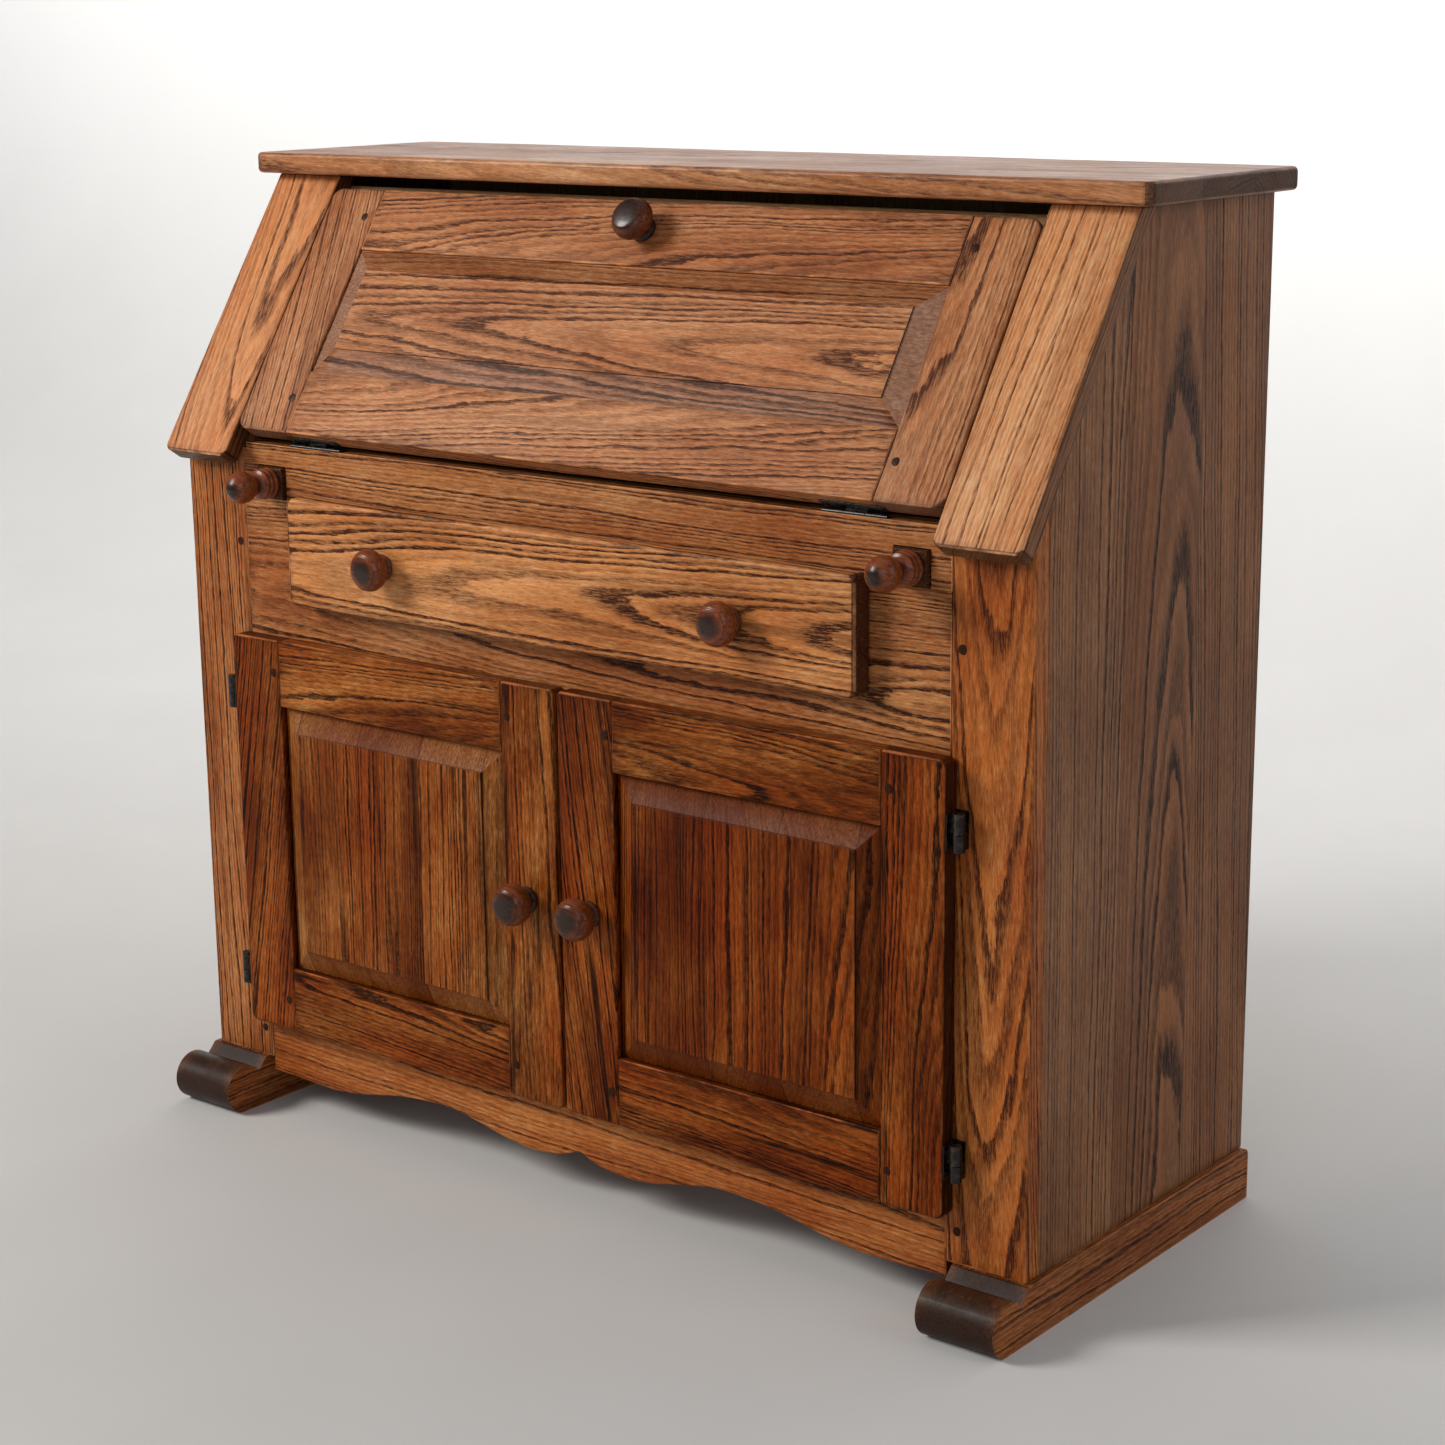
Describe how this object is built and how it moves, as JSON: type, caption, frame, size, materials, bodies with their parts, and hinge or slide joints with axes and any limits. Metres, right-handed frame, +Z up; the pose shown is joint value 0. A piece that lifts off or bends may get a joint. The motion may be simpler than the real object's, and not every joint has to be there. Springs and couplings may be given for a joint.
{
  "type": "secretary desk",
  "caption": "Fall-front writing desk on sledge feet: sloping fall on butt hinges, two pull-out lopers, a wide drawer and a two-door cupboard with raised panels.",
  "frame": {"origin": "middle of the footprint at floor level, centre of the bounding box in X and Y", "axes": "+X to the user's right along the front, -Y out of the front towards the user, +Z up"},
  "size_m": [1.09, 0.4654, 1.01],
  "materials": {
    "top_oak": "satin polish over stain",
    "side_oak": "satin polish over stain",
    "pilaster_oak": "satin polish",
    "frame_oak": "satin polish over stain",
    "fall_oak": "satin polish over stain",
    "drawer_oak": "satin polish",
    "door_oak": "satin polish over stain",
    "runner_oak": "satin polish, dark-stained toes",
    "dark_wood": "glossy dark stain",
    "inner_wood": "bare planed wood",
    "iron": "black lacquered iron",
    "catch": "moulded, matt"
  },
  "bodies": {
    "root": {"apron": "frame_oak", "back_panel": "inner_wood", "cupboard_floor": "door_oak", "cupboard_shelf": "door_oak", "door_catch": "catch", "door_left_hinge_bottom": "iron", "door_left_hinge_top": "iron", "door_right_hinge_bottom": "iron", "door_right_hinge_top": "iron", "drawer_deck": "inner_wood", "drawer_surround": "frame_oak", "fall_hinge_plate_left": "iron", "fall_hinge_plate_right": "iron", "fall_stop": "inner_wood", "guide_left": "inner_wood", "guide_right": "inner_wood", "pigeonhole_divider": "inner_wood", "pigeonhole_shelf": "inner_wood", "pilaster_left": "pilaster_oak", "pilaster_right": "pilaster_oak", "runner_left": "runner_oak", "runner_right": "runner_oak", "side_left": "side_oak", "side_right": "side_oak", "stile_left": "frame_oak", "stile_right": "frame_oak", "top_board": "top_oak", "top_rail": "frame_oak", "writing_board": "fall_oak"},
    "fall": {"fall_hinge_leaf_left": "iron", "fall_hinge_leaf_right": "iron", "fall_knob": "dark_wood", "fall_panel": "fall_oak", "fall_rail_bottom": "fall_oak", "fall_rail_top": "fall_oak", "fall_stile_left": "fall_oak", "fall_stile_right": "fall_oak"},
    "loper_left": {"loper_knob_left": "dark_wood", "loper_left": "dark_wood"},
    "loper_right": {"loper_knob_right": "dark_wood", "loper_right": "dark_wood"},
    "drawer": {"drawer_back": "inner_wood", "drawer_bottom": "inner_wood", "drawer_front": "drawer_oak", "drawer_knob_left": "dark_wood", "drawer_knob_right": "dark_wood", "drawer_side_left": "inner_wood", "drawer_side_right": "inner_wood"},
    "door_left": {"door_left_knob": "dark_wood", "door_left_panel": "door_oak", "door_left_rail_bottom": "door_oak", "door_left_rail_top": "door_oak", "door_left_stile_left": "door_oak", "door_left_stile_right": "door_oak"},
    "door_right": {"door_right_knob": "dark_wood", "door_right_panel": "door_oak", "door_right_rail_bottom": "door_oak", "door_right_rail_top": "door_oak", "door_right_stile_left": "door_oak", "door_right_stile_right": "door_oak"}
  },
  "joints": [
    {"name": "fall_hinge", "type": "hinge", "parent": "root", "child": "fall", "pos_m": [0, -0.16776, 0.72606], "axis": [1, 0, 0], "range_deg": [0, 123.7]},
    {"name": "loper_left_slide", "type": "slide", "parent": "root", "child": "loper_left", "axis": [0, -1, 0], "range_m": [0, 0.25]},
    {"name": "loper_right_slide", "type": "slide", "parent": "root", "child": "loper_right", "axis": [0, -1, 0], "range_m": [0, 0.25]},
    {"name": "drawer_slide", "type": "slide", "parent": "root", "child": "drawer", "axis": [0, -1, 0], "range_m": [0, 0.2]},
    {"name": "door_left_hinge", "type": "hinge", "parent": "root", "child": "door_left", "pos_m": [-0.4565, -0.18475, 0.314], "axis": [0, 0, -1], "range_deg": [0, 110]},
    {"name": "door_right_hinge", "type": "hinge", "parent": "root", "child": "door_right", "pos_m": [0.4565, -0.18475, 0.314], "axis": [0, 0, 1], "range_deg": [0, 110]}
  ]
}
